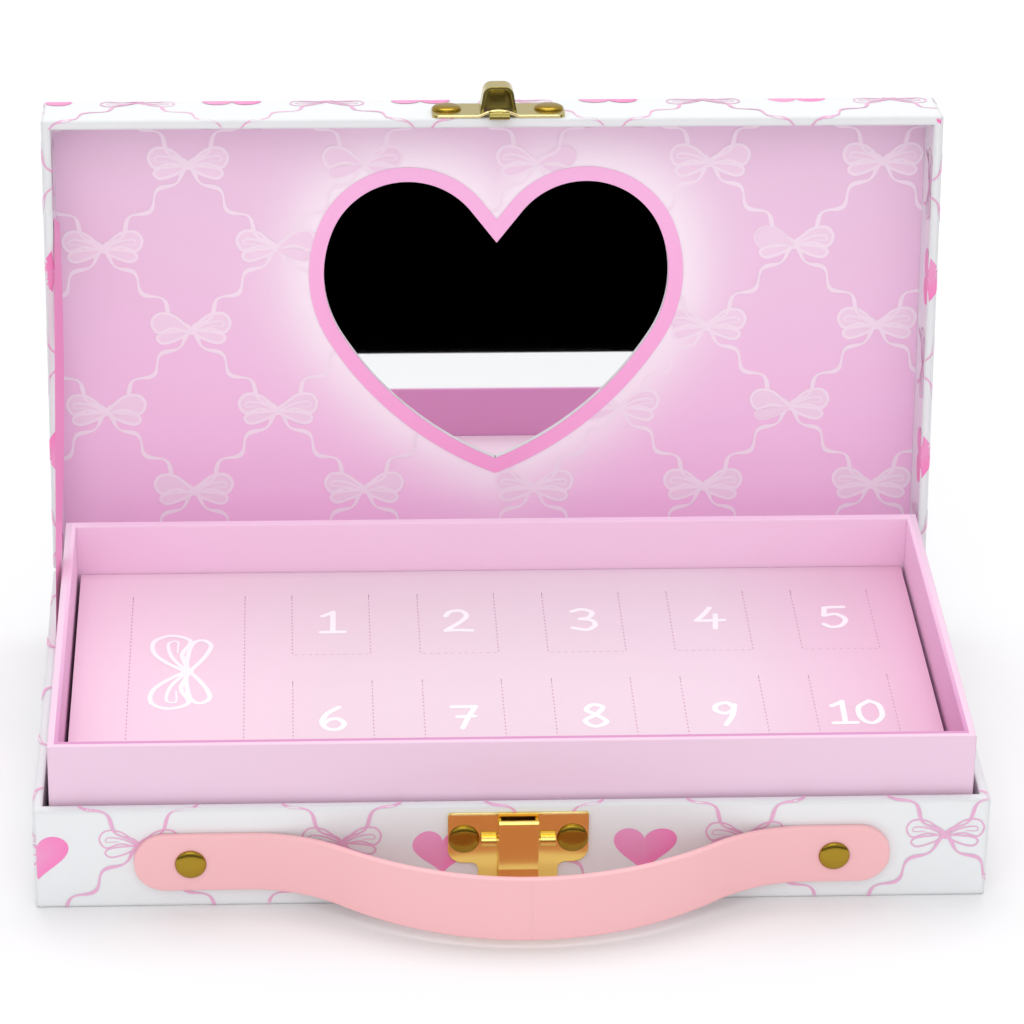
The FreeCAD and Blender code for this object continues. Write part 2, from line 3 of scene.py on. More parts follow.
import bpy
import numpy as np
from mathutils import Matrix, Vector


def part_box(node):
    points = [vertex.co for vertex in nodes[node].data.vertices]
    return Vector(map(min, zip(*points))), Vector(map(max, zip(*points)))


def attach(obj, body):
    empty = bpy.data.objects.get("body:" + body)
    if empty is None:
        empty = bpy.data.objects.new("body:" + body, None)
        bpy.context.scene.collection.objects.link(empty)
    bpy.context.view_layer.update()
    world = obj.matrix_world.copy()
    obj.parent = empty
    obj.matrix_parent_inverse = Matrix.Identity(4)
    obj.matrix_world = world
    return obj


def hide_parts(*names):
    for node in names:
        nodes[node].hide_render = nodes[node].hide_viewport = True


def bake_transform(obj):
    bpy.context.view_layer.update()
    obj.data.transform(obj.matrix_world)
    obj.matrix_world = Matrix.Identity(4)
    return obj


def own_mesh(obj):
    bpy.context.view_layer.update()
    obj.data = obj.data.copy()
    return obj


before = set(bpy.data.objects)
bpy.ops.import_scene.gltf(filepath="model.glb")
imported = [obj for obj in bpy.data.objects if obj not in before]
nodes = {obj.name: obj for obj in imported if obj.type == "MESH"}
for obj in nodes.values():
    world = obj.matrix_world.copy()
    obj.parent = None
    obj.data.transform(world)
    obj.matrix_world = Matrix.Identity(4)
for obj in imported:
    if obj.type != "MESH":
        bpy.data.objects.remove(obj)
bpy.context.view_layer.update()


# Base shell: grey board, 2 mm thick, folded up into a shallow box.
# It stands on the table and carries the tray, the latch and the handle.
# Paper hides nearly all of it.
film_rough, grain_detail, grain_depth, edge_samples = 0.25, 3.0, 0.0001, 6


def linear(red, green, blue):
    """A colour in 0 to 255 as linear light: a straight toe, then a power of 2.4."""
    share = [c / 255 for c in (red, green, blue)]
    return tuple(c / 12.92 if c <= 0.04045 else ((c + 0.055) / 1.055) ** 2.4
                 for c in share) + (1.0,)


def coat(name, colour, rough, metal=0.0, gloss=0.0, grain=0.0, grain_size=0.0005, edge=0.0):
    """A plain surface: one colour, a roughness, a clear film, a grain of noise, round edges."""
    material = bpy.data.materials.new(name)
    material.use_nodes = True
    tree = material.node_tree
    shader = tree.nodes["Principled BSDF"]
    for socket, value in (("Base Color", colour), ("Roughness", rough), ("Metallic", metal),
                          ("Coat Weight", gloss), ("Coat Roughness", film_rough)):
        shader.inputs[socket].default_value = value
    top = shader.inputs["Normal"]
    if grain:
        place = tree.nodes.new("ShaderNodeTexCoord")
        noise = tree.nodes.new("ShaderNodeTexNoise")
        noise.inputs["Scale"].default_value = 1 / grain_size
        noise.inputs["Detail"].default_value = grain_detail
        bump = tree.nodes.new("ShaderNodeBump")
        bump.inputs["Strength"].default_value = grain
        bump.inputs["Distance"].default_value = grain_depth
        tree.links.new(place.outputs["Object"], noise.inputs["Vector"])
        tree.links.new(noise.outputs["Fac"], bump.inputs["Height"])
        tree.links.new(bump.outputs["Normal"], top)
        top = bump.inputs["Normal"]
    if edge:
        rounded = tree.nodes.new("ShaderNodeBevel")
        rounded.samples = edge_samples
        rounded.inputs["Radius"].default_value = edge
        tree.links.new(rounded.outputs["Normal"], top)
    return material


def dress(material, *names):
    """Gives CAD nodes a material."""
    for name in names:
        nodes[name].data.materials.clear()
        nodes[name].data.materials.append(material)


greyboard = coat("greyboard", linear(176, 168, 160), 0.9, grain=0.4)
dress(greyboard, "base_board")


# Base paper: white printed paper glued round the base, over its rim and under its floor.
# The print is a trellis of thin pink ribbons tied in bows, with a watercolour heart in
# each opening.
per_metre, hair = 1000, 0.02
half_width, half_depth, wall, corner, rim_corner = 122.5, 64.5, 2.6, 0.7, 0.25
base_height, case_step, case_drop = 29.0, 51.7, 25.0
case_look = {"wave": 1.5, "line": 0.75, "bow_size": 0.92, "bow_line": 0.45, "tone": 0.12}
case_heart, case_heart_drop, case_rows, case_seed = 16.2, 3.2, range(-2, 4), 3
bow_taper, arm_reach, arm_points = 0.3, 1.4, 52
arm_waves, arm_start, arm_swell, arm_swells = 3, 1.26, 0.35, 4.5
heart_points, heart_rings, heart_rise, heart_squat, heart_span = 56, 10, 2.5, 0.9, 32
brush_tone, brush_swing, brush_turn, brush_middle = 0.62, 0.2, 2.2, 0.48


def band(rows, count, closed=False):
    """Faces of a band of rows with count points each; a closed band joins each row's ends."""
    return [(r * count + i, r * count + (i + 1) % count,
             (r + 1) * count + (i + 1) % count, (r + 1) * count + i)
            for r in range(rows - 1) for i in range(count if closed else count - 1)]


class Print:
    """Ink on one face: strokes and filled outlines in the face's flat coordinates.

    Each point has a tone and a lift off the paper. Strokes lie over earlier ones in thin layers.
    """

    first_lift, layer_lift, layers = 0.03, 0.008, 16
    cap_start, cap_points, stroke_rise = 0.15, 5, 0.9
    fill_end = 0.99

    def __init__(self):
        """An empty print."""
        self.points = np.zeros((0, 2))
        self.tones = np.zeros(0)
        self.lifts = np.zeros(0)
        self.faces = []
        self.strokes = 0

    def add(self, points, tones, faces, rise=0.0):
        """Adds points and faces in the next layer; rise lifts single points by shares of it."""
        first = len(self.points)
        lift = self.first_lift + self.layer_lift * (self.strokes % self.layers + rise)
        self.strokes += 1
        self.points = np.vstack([self.points, points])
        self.tones = np.concatenate([self.tones, np.broadcast_to(tones, len(points))])
        self.lifts = np.concatenate([self.lifts, np.broadcast_to(lift, len(points))])
        self.faces += [[first + i for i in face] for face in faces]

    def strip(self, path, width, tone, round_ends=False):
        """A stroke along a path: two rows of points, half a width to each side of it."""
        path = np.asarray(path, float)
        half = np.broadcast_to(np.asarray(width, float) / 2, len(path)).copy()
        if round_ends:
            cap = np.sin(np.linspace(self.cap_start, 1.0, self.cap_points) * math.pi / 2)
            reach = np.sqrt(1 - cap ** 2)
            first, last = path[0] - path[1], path[-1] - path[-2]
            first, last = first / np.hypot(*first), last / np.hypot(*last)
            path = np.vstack([path[0] + np.outer(reach * half[0], first), path[1:-1],
                              path[-1] + np.outer(reach[::-1] * half[-1], last)])
            half = np.concatenate([cap * half[0], half[1:-1], cap[::-1] * half[-1]])
        along = np.gradient(path, axis=0)
        along /= np.maximum(np.hypot(along[:, 0], along[:, 1]), 1e-9)[:, None]
        across = np.column_stack([-along[:, 1], along[:, 0]]) * half[:, None]
        self.add(np.vstack([path - across, path + across]), tone, band(2, len(path)),
                 np.tile(np.linspace(0, self.stroke_rise, len(path)), 2))

    def fill(self, outline, middle, tone, middle_tone, rings=3):
        """A filled outline: rings that shrink from it to a middle point, blending two tones."""
        outline, n = np.asarray(outline, float), len(outline)
        shares = np.linspace(0, self.fill_end, rings + 1)
        points = np.vstack([outline + (np.asarray(middle) - outline) * share
                            for share in shares])
        tones = np.concatenate([tone + (middle_tone - tone) * np.full(n, share)
                                for share in shares])
        self.add(points, tones,
                 band(rings + 1, n, closed=True) + [tuple(range(rings * n, rings * n + n))])

    def keep(self, wanted):
        """Drops the faces whose middle point isn't wanted."""
        middles = np.array([self.points[face].mean(axis=0) for face in self.faces])
        self.faces = [face for face, good in zip(self.faces, wanted(middles)) if good]

    def trim(self, low, high):
        """Cuts the ink off at a rectangle: points beyond it move to its edge, flat faces go."""
        low, high = np.asarray(low), np.asarray(high)
        self.points = np.clip(self.points, low, high)
        self.keep(lambda p: ((p > low + hair) & (p < high - hair)).all(axis=1))


def smooth_line(points, steps=8, closed=False):
    """A curve through the points: cubic pieces whose slope follows a point's two neighbours."""
    points = np.asarray(points, float)
    if closed:
        points = np.vstack([points[-1], points, points[:2]])
    else:
        points = np.vstack([2 * points[0] - points[1], points, 2 * points[-1] - points[-2]])
    t = np.linspace(0, 1, steps, endpoint=False)[:, None]
    parts = []
    for a, b, c, d in zip(points, points[1:], points[2:], points[3:]):
        parts.append(b + (c - a) * t / 2 + (2 * a - 5 * b + 4 * c - d) * t ** 2 / 2
                     + (3 * b - a - 3 * c + d) * t ** 3 / 2)
    return np.vstack(parts if closed else parts + [points[-2:-1]])


def draw_bow(ink, at, size, line, tone, fill_tone=None, turned=False):
    """A tied bow: on each side a large raised loop and a small low one, meeting in a knot."""
    high = smooth_line([(0, 0), (4.6, 4.6), (9.0, 5.2), (10.9, 2.6), (9.2, -0.3), (5.0, 0.9)],
                       closed=True)
    low = smooth_line([(0, 0), (3.7, 0.1), (8.2, -0.6), (9.4, -2.1), (7.6, -3.4), (3.6, -2.2)],
                      closed=True)
    inner = smooth_line([(0.4, 0.3), (4.4, 2.4), (8.4, 3.0), (9.0, 1.6), (5.6, 1.6)])
    knot = smooth_line([(1.1, 0), (0, 1.0), (-1.1, 0), (0, -1.0)], closed=True)

    def placed(path, side):
        """The path on one side of the knot, sized, and turned upright if the bow is turned."""
        path = path * (side, 1) * size
        return (path[:, ::-1] * (-1, 1) if turned else path) + at

    for side in (-1, 1):
        for loop in (high, low):
            if fill_tone is not None:
                middle = placed(loop.mean(axis=0)[None], side)[0]
                ink.fill(placed(loop, side), middle, fill_tone, fill_tone)
            ink.strip(placed(np.vstack([loop, loop[:1]]), side), line, tone)
        ink.strip(placed(inner, side), line * np.linspace(1.0, bow_taper, len(inner)), tone)
    ink.fill(placed(knot, 1), at, tone, tone)


def draw_arm(ink, start, end, wave, line, tone):
    """A ribbon between two bows: a straight run, with waves across it that die at the knots."""
    t = np.linspace(0, 1, arm_points)
    run = np.asarray(end, float) - start
    across = np.array([-run[1], run[0]]) / np.hypot(*run) * np.sign(run[0])
    swing = -wave * np.sin(2 * math.pi * arm_waves * t - arm_start) * np.sin(math.pi * t) ** 0.5
    path = start + np.outer(t, run) + np.outer(swing, across)
    ink.strip(path, line * (1 + arm_swell * np.sin(2 * math.pi * arm_swells * t)), tone)


def draw_heart(ink, at, size, seed):
    """A brushed heart: x = 16 sin^3 a, y of four cosines, with a wobble, darker at one side."""
    a = np.linspace(0, 2 * math.pi, heart_points, endpoint=False)
    x = 16 * np.sin(a) ** 3
    y = 13 * np.cos(a) - 5 * np.cos(2 * a) - 2 * np.cos(3 * a) - np.cos(4 * a) + heart_rise
    wobble = 1 + 0.03 * np.sin(3 * a + seed) + 0.02 * np.sin(5 * a + 2 * seed)
    outline = np.column_stack([x, heart_squat * y]) * (wobble * size / heart_span)[:, None]
    tone = brush_tone + brush_swing * np.cos(a - brush_turn + 0.5 * math.sin(seed))
    ink.fill(outline + at, at, tone, brush_middle, rings=heart_rings)


def draw_trellis(ink, bows, drop, wave, line, bow_size, bow_line, tone, fill_tone=None):
    """Rows of bows, each drop below the last and half a step across, joined by ribbons."""
    for row, places in enumerate(bows):
        for x, y in places:
            draw_bow(ink, (x, y), bow_size, bow_line, tone, fill_tone)
            if row + 1 < len(bows):
                for near in sorted(bows[row + 1], key=lambda p: abs(p[0] - x))[:2]:
                    if abs(near[0] - x) < arm_reach * drop:
                        draw_arm(ink, (x, y), near, wave, line, tone)


def draw_case(ink, rows, seed, row_seed, heart_w=-99.0):
    """The paper's repeat: the trellis, and a heart after each bow that is past heart_w."""
    draw_trellis(ink, rows, case_drop, **case_look)
    for row, places in enumerate(rows):
        for i, (x, y) in enumerate(places):
            if -y > heart_w:
                draw_heart(ink, (x + case_step / 2, y - case_heart_drop), case_heart,
                           seed + row_seed * row + i)


def piece(name, points, faces, material, tones=None, smooth=True):
    """A mesh from points in millimetres; tones or inks go into an attribute of its points."""
    mesh = bpy.data.meshes.new(name)
    mesh.from_pydata((np.asarray(points) / per_metre).tolist(), [], faces)
    if tones is not None:
        tones = np.asarray(tones, np.float32)
        if tones.ndim == 1:
            mesh.attributes.new("tone", "FLOAT", "POINT").data.foreach_set("value", tones)
        else:
            inks = mesh.attributes.new("ink", "FLOAT_COLOR", "POINT")
            inks.data.foreach_set("color", tones.ravel())
    mesh.polygons.foreach_set("use_smooth", [smooth] * len(mesh.polygons))
    mesh.materials.append(material)
    mesh.update()
    made = bpy.data.objects.new(name, mesh)
    bpy.context.scene.collection.objects.link(made)
    return made


def stamped(name, material, *layers):
    """Prints laid on their faces: a layer is a print and the map from its flat points."""
    points, tones, faces = [], [], []
    for ink, onto in layers:
        first = sum(len(p) for p in points)
        points.append(onto(ink.points, ink.lifts))
        tones.append(ink.tones)
        faces += [[first + i for i in face] for face in ink.faces]
    return piece(name, np.vstack(points), faces, material, np.concatenate(tones))


def feed(tree, socket, value):
    """Sets a fixed value on a socket, or links another node's output to it."""
    if isinstance(value, bpy.types.NodeSocket):
        tree.links.new(value, socket)
    else:
        socket.default_value = value


def mixed(tree, share, first, second):
    """A colour between two, each fixed or worked out by the shader: first plus share of the way."""
    node = tree.nodes.new("ShaderNodeMix")
    node.data_type = "RGBA"
    for socket, value in (("Factor", share), ("A", first), ("B", second)):
        feed(tree, node.inputs[socket], value)
    return node.outputs["Result"]


def carried(tree, name, kind):
    """What the mesh carries on its points under a name."""
    node = tree.nodes.new("ShaderNodeAttribute")
    node.attribute_name = name
    return node.outputs[kind]


def tint(material, colour):
    """Links a colour worked out by the shader to the surface."""
    feed(material.node_tree, material.node_tree.nodes["Principled BSDF"].inputs["Base Color"],
         colour)


def ink_coat(name, pale, strong, rough):
    """Printing ink: its colour runs from pale to strong with the tone of the point."""
    material = coat(name, pale, rough)
    tree = material.node_tree
    tint(material, mixed(tree, carried(tree, "tone", "Fac"), pale, strong))
    return material


def round_case(flat, lift, rim_z, height, way):
    """Flat print to the case's skin: s runs round the walls from the front's middle, w off the rim.

    The section is the wall, a quarter round, the rim's flat, a small quarter round, the inner wall.
    """
    s, w = flat[:, 0], flat[:, 1]
    bend = corner * math.pi / 2
    lengths = [2 * (half_width - corner), 2 * (half_depth - corner)] * 2
    s = (s + lengths[0] / 2) % (sum(lengths) + 4 * bend)
    x, y, nx, ny = (np.zeros(len(s)) for _ in range(4))
    begin, cx, cy = 0.0, -(half_width - corner), -half_depth
    for side, length in enumerate(lengths):
        turn = side * math.pi / 2
        tx, ty, ox, oy = math.cos(turn), math.sin(turn), math.sin(turn), -math.cos(turn)
        on = (s >= begin) & (s <= begin + length)
        x[on], y[on] = cx + tx * (s[on] - begin), cy + ty * (s[on] - begin)
        nx[on], ny[on] = ox, oy
        cx, cy = cx + tx * length, cy + ty * length
        on = (s > begin + length) & (s < begin + length + bend)
        a = (s[on] - begin - length) / corner + turn
        mx, my = cx - ox * corner, cy - oy * corner
        nx[on], ny[on] = np.sin(a), -np.cos(a)
        x[on], y[on] = mx + corner * nx[on], my + corner * ny[on]
        cx, cy = mx + tx * corner, my + ty * corner
        begin += length + bend
    foot = height - 2 * corner
    rim_flat = wall - corner - rim_corner
    flat_end = -bend - rim_flat
    deep = flat_end - rim_corner * math.pi / 2
    a_low = np.clip((w - foot) / corner, 0, math.pi / 2)
    a_rim = np.clip(-w / corner, 0, math.pi / 2)
    a_in = np.clip((flat_end - w) / rim_corner, 0, math.pi / 2)
    inward = (corner * (1 - np.cos(a_low)) + corner * (1 - np.cos(a_rim))
              + np.clip(-bend - w, 0, rim_flat) + rim_corner * np.sin(a_in))
    below = np.where(w >= 0, corner + np.clip(w, 0, foot) + corner * np.sin(a_low),
                     corner * (1 - np.sin(a_rim)))
    below = below + rim_corner * (1 - np.cos(a_in)) + np.clip(deep - w, 0, None)
    out = np.cos(a_low) * np.cos(a_rim) - np.sin(a_in)
    up = np.sin(a_rim) * np.cos(a_in) - np.sin(a_low)
    inward, below = inward - lift * out, below - lift * up
    return np.column_stack([x - nx * inward, y - ny * inward, rim_z + way * below])


def case_print(phase, bow_w, span, low, high, seed, heart_w=-99.0):
    """The print on a stretch of wall: a row of bows at bow_w from the rim, and rows beside it."""
    ink = Print()
    first = math.floor((span[0] - phase) / case_step) - 1
    last = math.ceil((span[1] - phase) / case_step) + 1
    rows = []
    for row in case_rows:
        shift = case_step / 2 if row % 2 else 0
        rows.append([(phase + shift + case_step * i, -bow_w - case_drop * row)
                     for i in range(first, last)])
    draw_case(ink, rows, seed, case_seed, heart_w)
    ink.points[:, 1] *= -1
    ink.trim((span[0], low), (span[1], high))
    return ink


def on_base(flat, lift):
    """Flat case print to the base's skin, which runs down from its rim."""
    return round_case(flat, lift, base_height, base_height, -1)


white_paper = coat("white_paper", linear(232, 234, 236), 0.42, gloss=0.25, grain=0.05, edge=0.0012)
case_ink = ink_coat("case_ink", linear(228, 182, 212), linear(250, 110, 186), 0.42)
dress(white_paper, "base_wrap", "base_bottom_sheet")
front_end = half_width - corner
round_end = 4 * (half_width + half_depth) + (2 * math.pi - 8) * corner - front_end
base_ink = case_print(phase=-95.6, bow_w=10.2, span=(-front_end, round_end), low=-2.9, high=28.2,
                      seed=0.0)
base_print = stamped("base_print", case_ink, (base_ink, on_base))
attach(base_print, "base")


# Tray: a board tray wrapped in plain pink paper, glued into the base, 16.5 mm above its rim.
# Its inner walls are in each other's shade, so the pink deepens there towards the front.
tray_inner_half, tray_inner_front, tray_run = 0.1166, -0.0592, 0.058
tray_pink, tray_shade, tray_light = (linear(236, 203, 225), linear(214, 146, 192),
                                     linear(250, 212, 238))


def place_axes(tree, kind):
    """The shaded point's x, y and z in one of the shader's coordinates."""
    place = tree.nodes.new("ShaderNodeTexCoord")
    axes = tree.nodes.new("ShaderNodeSeparateXYZ")
    tree.links.new(place.outputs[kind], axes.inputs["Vector"])
    return [axes.outputs[axis] for axis in "XYZ"]


def reckon(tree, operation, *values):
    """A sum in the shader, of fixed numbers and of other nodes' outputs."""
    node = tree.nodes.new("ShaderNodeMath")
    node.operation = operation
    for socket, value in zip(node.inputs, values):
        feed(tree, socket, value)
    return node.outputs[0]


def ramp_along(tree, value, reach, first, last, between=()):
    """A colour that runs from first at minus reach to last at reach, by stops set between."""
    run = tree.nodes.new("ShaderNodeMapRange")
    run.inputs["From Min"].default_value = -reach
    run.inputs["From Max"].default_value = reach
    ramp = tree.nodes.new("ShaderNodeValToRGB")
    stops = ramp.color_ramp.elements
    stops[0].color, stops[1].color = first, last
    for at, colour in between:
        stops.new(at).color = colour
    tree.links.new(value, run.inputs["Value"])
    tree.links.new(run.outputs["Result"], ramp.inputs["Fac"])
    return ramp.outputs["Color"]


pink_paper = coat("pink_paper", tray_pink, 0.5, gloss=0.15, grain=0.06, edge=0.0006)
tree = pink_paper.node_tree
across, deep, _ = place_axes(tree, "Object")
between_sides = reckon(tree, "LESS_THAN", reckon(tree, "ABSOLUTE", across), tray_inner_half)
behind_front = reckon(tree, "GREATER_THAN", deep, tray_inner_front)
within = reckon(tree, "MULTIPLY", between_sides, behind_front)
tint(pink_paper, mixed(tree, within, tray_pink,
                       ramp_along(tree, deep, tray_run, tray_shade, tray_light)))
dress(greyboard, "tray_board")
dress(pink_paper, "tray_wrap")


# Insert: a printed card on a folded card tray, loose in the tray, with card partitions
# between its wells. Ten small doors and one long one are cut into the card along
# perforations and fold up on a crease.
card_top, card_run, crease_gap = 30.6, 0.1145, 0.5
hole_step, hole_from, hole_to, side_slit, front_slit = 1.9, 0.28, 0.72, 0.30, 0.22
cut_half, crease_clear, bridge_wide = 0.06, 1.5, 0.2
bridge_lift, fold_lift, hole_lift, fold_lap, fold_rows = 0.01, 0.015, 0.025, 0.1, 6
insert_card = coat("insert_card", linear(245, 208, 226), 0.5, gloss=0.1, grain=0.05)
# The card's colour is painted light and shade across its width: pinker at the ends and darkest at
# the right end, as painted shade from the tray's walls.
tree = insert_card.node_tree
across = place_axes(tree, "Object")[0]
tint(insert_card, ramp_along(tree, across, card_run, linear(244, 208, 228), linear(232, 186, 211),
                             ((0.3, linear(232, 209, 221)), (0.75, linear(232, 210, 223)))))
# The slits' darker pink is painted shade: it stands for the shade seen through the cuts.
perforation = coat("perforation", linear(206, 158, 184), 0.8)
white_card = coat("white_card", linear(238, 234, 236), 0.7)
partitions = [name for name in nodes if "partition" in name]
doors = [name for name in nodes if name.startswith("door_")] + ["side_door"]
dress(insert_card, "insert_card", *doors)
dress(white_card, "insert_tray", *partitions)


def box_mm(name):
    """A node's low and high corners in millimetres."""
    return [np.array(point) * per_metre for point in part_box(name)]


def on_card(flat, lift):
    """Flat card points to space, just over the card."""
    return np.column_stack([flat, card_top + lift])


for door in doors:
    low, high = box_mm(door)
    left, right, front = low[0] - cut_half, high[0] + cut_half, low[1] - cut_half
    back = high[1] - crease_clear
    holes, bridges = Print(), Print()
    for start, end, slit in (((left, low[1]), (left, back), side_slit),
                             ((right, low[1]), (right, back), side_slit),
                             ((low[0], front), (high[0], front), front_slit)):
        run = np.subtract(end, start)
        bridges.strip(np.array([start, end]), bridge_wide, 1.0)
        count = round(np.hypot(*run) / hole_step)
        for i in range(count):
            ends = [(i + hole_from) / count, (i + hole_to) / count]
            holes.strip(start + np.outer(ends, run), slit, 1.0)
    bridges.lifts[:] = bridge_lift
    holes.lifts[:] = hole_lift
    for name, ink, stuff in (("_bridges", bridges, insert_card), ("_holes", holes, perforation)):
        marks = stamped(door + name, stuff, (ink, on_card))
        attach(marks, "insert")
    fold = high[1] + np.linspace(-fold_lap, crease_gap + fold_lap, fold_rows)
    flat = np.column_stack([np.tile((low[0], high[0]), fold_rows), np.repeat(fold, 2)])
    crease = piece(door + "_fold", on_card(flat, np.full(2 * fold_rows, fold_lift)),
                   band(fold_rows, 2), insert_card)
    middle = (low[0] + high[0]) / 2 / per_metre
    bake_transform(crease)


# Numbers on the doors: plain digits in white ink, drawn with a round brush, one on each door.
# The long door carries a bow of the trellis, drawn larger and turned to lie along the door.
strokes = {
    "0": [[(0.02, 0.5), (-0.26, 0.2), (-0.24, -0.3), (0.0, -0.5), (0.26, -0.2), (0.24, 0.3),
           (0.02, 0.5)]],
    "1": [[(-0.2, 0.3), (-0.02, 0.42), (0.06, 0.5)], [(0.06, 0.5), (0.05, 0.0), (0.04, -0.48)],
          [(-0.24, -0.48), (0.05, -0.48), (0.32, -0.47)]],
    "2": [[(-0.28, 0.24), (-0.16, 0.45), (0.1, 0.49), (0.24, 0.28), (0.12, 0.0), (-0.3, -0.46)],
          [(-0.3, -0.46), (0.0, -0.45), (0.34, -0.47)]],
    "3": [[(-0.26, 0.4), (0.0, 0.5), (0.24, 0.34), (0.14, 0.1), (-0.08, 0.03)],
          [(-0.08, 0.03), (0.2, -0.04), (0.28, -0.28), (0.06, -0.5), (-0.28, -0.4)]],
    "4": [[(0.06, 0.5), (-0.1, 0.2), (-0.32, -0.12)], [(-0.32, -0.12), (0.0, -0.12), (0.36, -0.1)],
          [(0.18, 0.16), (0.15, -0.2), (0.12, -0.5)]],
    "5": [[(0.28, 0.47), (0.05, 0.47), (-0.2, 0.45)], [(-0.2, 0.45), (-0.22, 0.25), (-0.25, 0.06)],
          [(-0.25, 0.06), (0.06, 0.12), (0.27, -0.12), (0.14, -0.42), (-0.12, -0.5),
           (-0.29, -0.36)]],
    "6": [[(0.14, 0.5), (-0.14, 0.22), (-0.27, -0.16), (-0.14, -0.46), (0.12, -0.48),
           (0.26, -0.24), (0.1, -0.02), (-0.12, -0.08), (-0.25, -0.26)]],
    "7": [[(-0.28, 0.46), (0.0, 0.46), (0.28, 0.46)], [(0.28, 0.46), (0.1, 0.0), (-0.06, -0.5)],
          [(-0.16, 0.0), (0.02, 0.01), (0.24, 0.02)]],
    "8": [[(0.02, 0.04), (-0.2, 0.24), (-0.04, 0.48), (0.2, 0.36), (0.02, 0.04), (-0.26, -0.24),
           (-0.04, -0.5), (0.25, -0.3), (0.02, 0.04)]],
    "9": [[(0.22, 0.3), (0.06, 0.5), (-0.2, 0.38), (-0.22, 0.14), (0.0, 0.02), (0.2, 0.18),
           (0.24, 0.4)], [(0.24, 0.4), (0.16, -0.06), (-0.04, -0.5)]],
}
digit_height, digit_width, digit_line, digit_step = 11.6, 11.0, 1.5, 7.6
doors_in_row, back_row_shift, front_row_shift = 5, 1.3, -3.1
door_bow_size, door_bow_line, door_bow_shift = 1.8, 1.3, (0.2, 0.0)
white_ink = coat("white_ink", linear(250, 244, 249), 0.45)
for door in doors:
    low, high = box_mm(door)
    middle = (low[:2] + high[:2]) / 2
    ink = Print()
    if door == "side_door":
        draw_bow(ink, middle + door_bow_shift, door_bow_size, door_bow_line, 1.0, turned=True)
    else:
        word = door.split("_")[1]
        back = back_row_shift if int(word) <= doors_in_row else front_row_shift
        for place, digit in enumerate(word):
            shift = (place - (len(word) - 1) / 2) * digit_step
            for stroke in strokes[digit]:
                path = smooth_line(np.array(stroke) * (digit_width, digit_height))
                ink.strip(path + middle + (shift, back), digit_line, 1.0, round_ends=True)
    number = stamped(door + "_number", white_ink, (ink, on_card))
    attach(number, door)


# Lid shell: the same board box turned over, hinged at the back and resting just past upright.
# Its paper is the case's printed paper, turned over the rim and down the inside of the walls.
open_angle, hinge_z, lid_rim_z, lid_height = math.radians(97.8), 29.15, 29.3, 20.4
wall_print = {"bow_w": 18.6, "low": -16.0, "high": 19.6, "seed": 4.0}
panel_x, panel_y, panel_count, panel_seed = -152.0, 82.0, 7, 1.7


def opened(points):
    """Points of the closed lid turned about the hinge to where the lid stands."""
    along, deep = half_depth - points[:, 1], points[:, 2] - hinge_z
    return np.column_stack([
        points[:, 0],
        half_depth - along * math.cos(open_angle) + deep * math.sin(open_angle),
        hinge_z + along * math.sin(open_angle) + deep * math.cos(open_angle)])


def on_lid_wall(flat, lift):
    """Flat case print to the lid's skin, which runs up from its rim when shut."""
    return opened(round_case(flat, lift, lid_rim_z, lid_height, 1))


def on_lid_panel(flat, lift):
    """Flat print to the lid's outer face."""
    return opened(np.column_stack([flat, lid_rim_z + lid_height + lift]))


dress(greyboard, "lid_board")
dress(white_paper, "lid_wrap")
front_ink = case_print(phase=-96.9, span=(-front_end, front_end), heart_w=10.0, **wall_print)
side_ink = case_print(phase=117.0, span=(front_end, round_end), **wall_print)
panel_ink = Print()
draw_case(panel_ink, [[(panel_x + case_step * (i + row % 2 / 2), panel_y - case_drop * row)
                       for i in range(panel_count)] for row in range(panel_count)], 0, panel_seed)
panel_half = np.array([half_width - corner, half_depth - corner])
panel_ink.trim(-panel_half, panel_half)
lid_print = stamped("lid_print", case_ink, (front_ink, on_lid_wall), (side_ink, on_lid_wall),
                    (panel_ink, on_lid_panel))
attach(lid_print, "lid")


# Lining: a pink printed card glued inside the lid, with a heart cut out of it.
# The print has a pale glow and a stronger pink border round the heart, over a white trellis.
heart_x, lobe_reach, lobes_apart, notch_rise = 1.6, 84.4, 49.4, 4.8
lobe_radius, flank_radius, side_radius = 22.4, 33.3, 92.5
flank_turn, side_turn = math.radians(22.75), math.radians(-31.7)
lining_half_width, lining_half_depth, lining_z, mirror_z = 119.6, 61.6, 45.9, 46.9
lining_lap, lining_middle, lining_rows, lining_spread = 0.28, 72.0, 34, 1.4
face_lift, border_lift, border_wide, trellis_clear, cut_in = 0.02, 0.2, 4.1, 2.0, 0.05
fade_start, fade_run = 3.0, 123.0
glow_share, glow_start, glow_reach, glow_power = 0.95, 3.5, 10.5, 1.6
lattice_x, lattice_y, lattice_step, lattice_drop = -179.25, 135.2, 47.95, 23.73
lattice_rows, lattice_count = 7, 8
notch_points, lobe_points, flank_points, side_points = 10, 48, 26, 40


